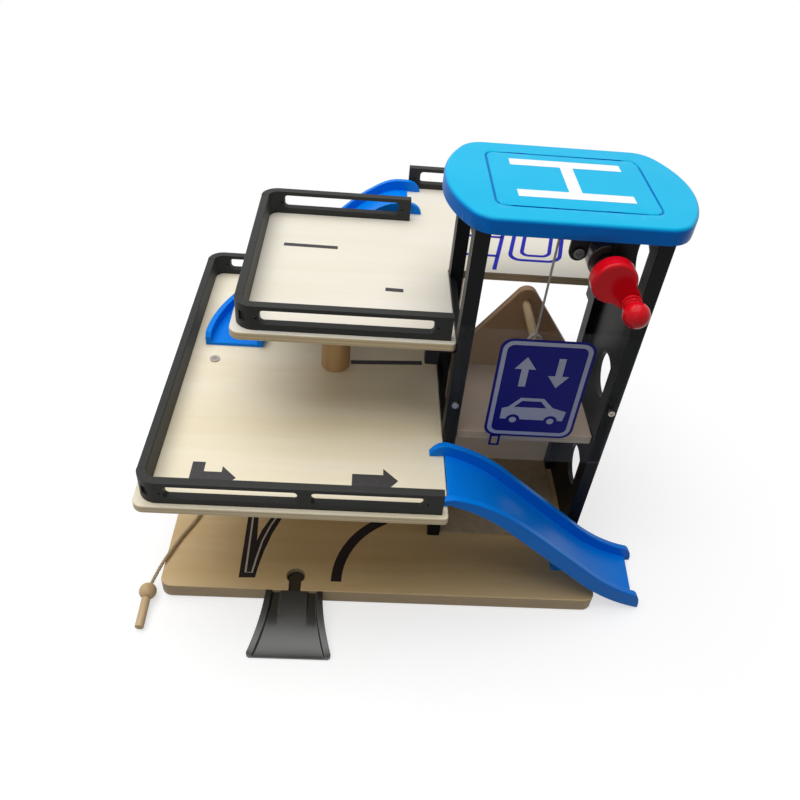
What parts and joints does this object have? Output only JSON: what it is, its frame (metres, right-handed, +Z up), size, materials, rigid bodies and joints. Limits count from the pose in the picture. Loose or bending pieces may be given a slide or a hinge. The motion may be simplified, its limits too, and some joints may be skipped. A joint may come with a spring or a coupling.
{
  "type": "toy parking garage",
  "caption": "Toy parking garage of plywood and plastic with railed decks, a hand-wound lift in a tower, a landing pad on top, a slide and ramps.",
  "frame": {"origin": "on the table, under the middle of the base board", "axes": "+X to the right towards the slide, +Y to the back, +Z up"},
  "size_m": [0.3601, 0.3173, 0.282],
  "materials": {
    "plywood": "clear satin lacquer",
    "fibreboard": "bare",
    "dowel_wood": "clear satin lacquer",
    "black_plastic": "fine satin",
    "grey_plastic": "fine satin",
    "blue_plastic": "moulded gloss",
    "red_plastic": "moulded gloss",
    "dark_gloss": "moulded gloss",
    "clear_plastic": "clear, printed sign",
    "steel": "plated",
    "nylon": "natural",
    "cord": "braided"
  },
  "bodies": {
    "root": {"base_board": "plywood", "back_wall": "plywood", "lower_deck": "plywood", "upper_deck": "plywood", "shaft_floor": "fibreboard", "pump_post": "dowel_wood", "lower_back_post": "dowel_wood", "deck_post": "dowel_wood", "rear_post": "dowel_wood", "hose_bead": "dowel_wood", "hose_nozzle": "dowel_wood", "panel_left": "black_plastic", "panel_right": "black_plastic", "winch_bracket_front": "black_plastic", "winch_bracket_back": "black_plastic", "guide_bracket_front": "black_plastic", "guide_bracket_back": "black_plastic", "lower_front_rail": "grey_plastic", "lower_left_rail": "grey_plastic", "lower_back_rail": "grey_plastic", "lower_corner_front": "grey_plastic", "lower_corner_back": "grey_plastic", "upper_front_rail": "grey_plastic", "upper_left_rail": "grey_plastic", "upper_back_rail": "grey_plastic", "upper_corner_front": "grey_plastic", "upper_corner_back": "grey_plastic", "rear_back_rail": "grey_plastic", "rear_right_rail": "grey_plastic", "rear_corner": "grey_plastic", "helipad": "blue_plastic", "curved_ramp": "blue_plastic", "front_pane": "clear_plastic", "pane_screw_left": "steel", "pane_screw_right": "steel", "deck_screw": "steel", "guide_pin": "steel", "lift_cord": "cord", "cord_span": "cord", "fuel_hose": "cord"},
    "lift": {"lift_floor": "plywood", "lift_gable": "plywood", "lift_dowel": "dowel_wood", "lift_knot": "cord"},
    "winch": {"winch_axle": "steel", "winch_drum": "dark_gloss", "crank": "red_plastic", "crank_knob": "red_plastic", "drum_wraps": "cord"},
    "roller": {"guide_roller": "nylon"},
    "slide": {"slide": "blue_plastic"},
    "track": {"track_ramp": "black_plastic"}
  },
  "joints": [
    {"name": "lift_travel", "type": "slide", "parent": "root", "child": "lift", "axis": [0, 0, 1], "range_m": [-0.098, 0.073], "deforming": ["lift_cord"]},
    {"name": "winch_turn", "type": "hinge", "parent": "root", "child": "winch", "pos_m": [0.113, -0.051, 0.254], "axis": [0, 1, 0], "range_deg": [-506.9, 377.8]},
    {"name": "roller_turn", "type": "hinge", "parent": "root", "child": "roller", "pos_m": [0.0941, -0.045, 0.262], "axis": [0, 1, 0], "range_deg": [-1813.3, 1351.2]},
    {"name": "slide_lift_off", "type": "slide", "parent": "root", "child": "slide", "axis": [0, 0, 1], "range_m": [0, 0.04]},
    {"name": "track_lift_out", "type": "slide", "parent": "root", "child": "track", "axis": [0, 0, 1], "range_m": [0, 0.03]}
  ],
  "couplings": [
    {"joint": "winch_turn", "follows": "lift_travel", "rad_per_m": 90.09},
    {"joint": "roller_turn", "follows": "lift_travel", "rad_per_m": 322.58}
  ]
}
